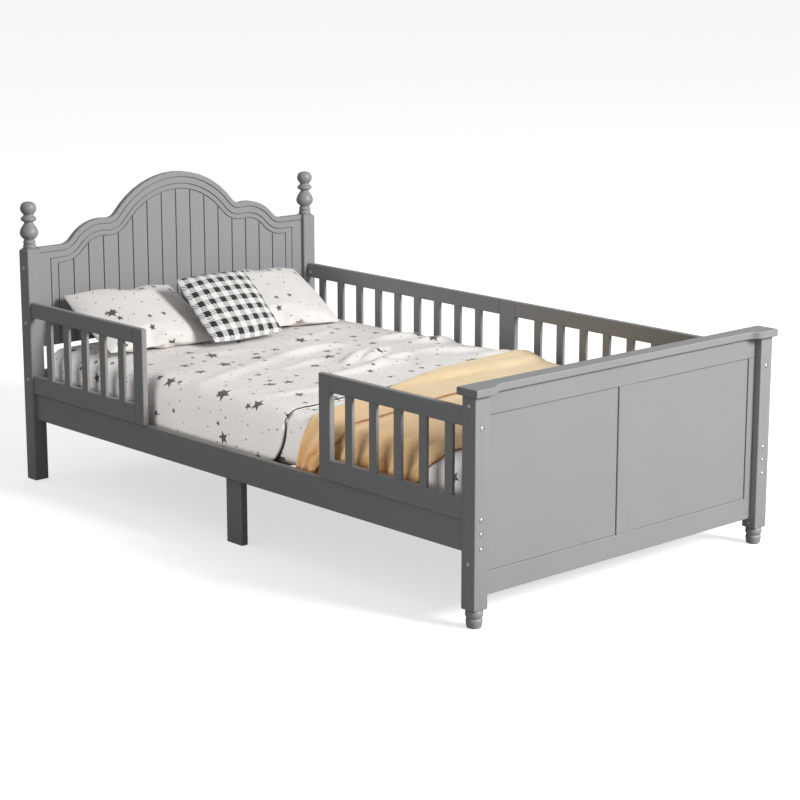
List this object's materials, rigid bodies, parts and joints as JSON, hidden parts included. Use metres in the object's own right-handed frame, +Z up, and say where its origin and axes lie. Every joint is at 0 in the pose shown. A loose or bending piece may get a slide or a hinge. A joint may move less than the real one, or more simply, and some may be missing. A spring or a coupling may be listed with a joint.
{
  "type": "toddler bed",
  "caption": "Twin-size toddler bed with an arched plank headboard, turned finials, panelled footboard, slatted guards, mattress, star bedding, check cushion and throw.",
  "frame": {"origin": "floor level, midway between the bed's outermost ends and sides", "axes": "+X across the bed, from the side with two short guards to the side with the long guard; +Y from foot to head; +Z up"},
  "size_m": [1.144, 1.9966, 0.905],
  "materials": {
    "grey_paint": "satin opaque grey paint over solid wood and board, faint grain under the film",
    "zinc_steel": "bright zinc-plated bolt heads and barrel nuts",
    "slat_pine": "planed unfinished pine",
    "mattress_ticking": "woven off-white ticking",
    "star_cotton": "matt cream cotton printed with small dark stars and dots",
    "check_cotton": "woven black and white houndstooth check",
    "amber_fleece": "soft amber fleece, matt"
  },
  "bodies": {
    "root": {"centre_beam": "slat_pine", "centre_leg": "grey_paint", "check_cushion": "check_cotton", "duvet": "star_cotton", "finial_left": "grey_paint", "finial_right": "grey_paint", "foot_cross_rail": "grey_paint", "foot_guard_baluster_1": "grey_paint", "foot_guard_baluster_2": "grey_paint", "foot_guard_baluster_3": "grey_paint", "foot_guard_baluster_4": "grey_paint", "foot_guard_baluster_5": "grey_paint", "foot_guard_bottom_rail": "grey_paint", "foot_guard_stile": "grey_paint", "foot_guard_top_rail": "grey_paint", "foot_post_left": "grey_paint", "foot_post_right": "grey_paint", "footboard_bottom_rail": "grey_paint", "footboard_cap": "grey_paint", "footboard_middle_stile": "grey_paint", "footboard_panel_left": "grey_paint", "footboard_panel_right": "grey_paint", "footboard_stile_left": "grey_paint", "footboard_stile_right": "grey_paint", "footboard_top_rail": "grey_paint", "head_cross_rail": "grey_paint", "head_guard_baluster_1": "grey_paint", "head_guard_baluster_2": "grey_paint", "head_guard_baluster_3": "grey_paint", "head_guard_baluster_4": "grey_paint", "head_guard_baluster_5": "grey_paint", "head_guard_bottom_rail": "grey_paint", "head_guard_stile": "grey_paint", "head_guard_top_rail": "grey_paint", "head_post_left": "grey_paint", "head_post_right": "grey_paint", "headboard_panel": "grey_paint", "long_guard_foot_ladder": "grey_paint", "long_guard_head_ladder": "grey_paint", "long_guard_middle_stile": "grey_paint", "mattress": "mattress_ticking", "middle_leg_left": "grey_paint", "middle_leg_right": "grey_paint", "pillow_left": "star_cotton", "pillow_right": "star_cotton", "side_rail_left": "grey_paint", "side_rail_right": "grey_paint", "slat_1": "slat_pine", "slat_10": "slat_pine", "slat_2": "slat_pine", "slat_3": "slat_pine", "slat_4": "slat_pine", "slat_5": "slat_pine", "slat_6": "slat_pine", "slat_7": "slat_pine", "slat_8": "slat_pine", "slat_9": "slat_pine", "slat_ledger_left": "slat_pine", "slat_ledger_right": "slat_pine", "throw_blanket": "amber_fleece"}
  },
  "joints": []
}
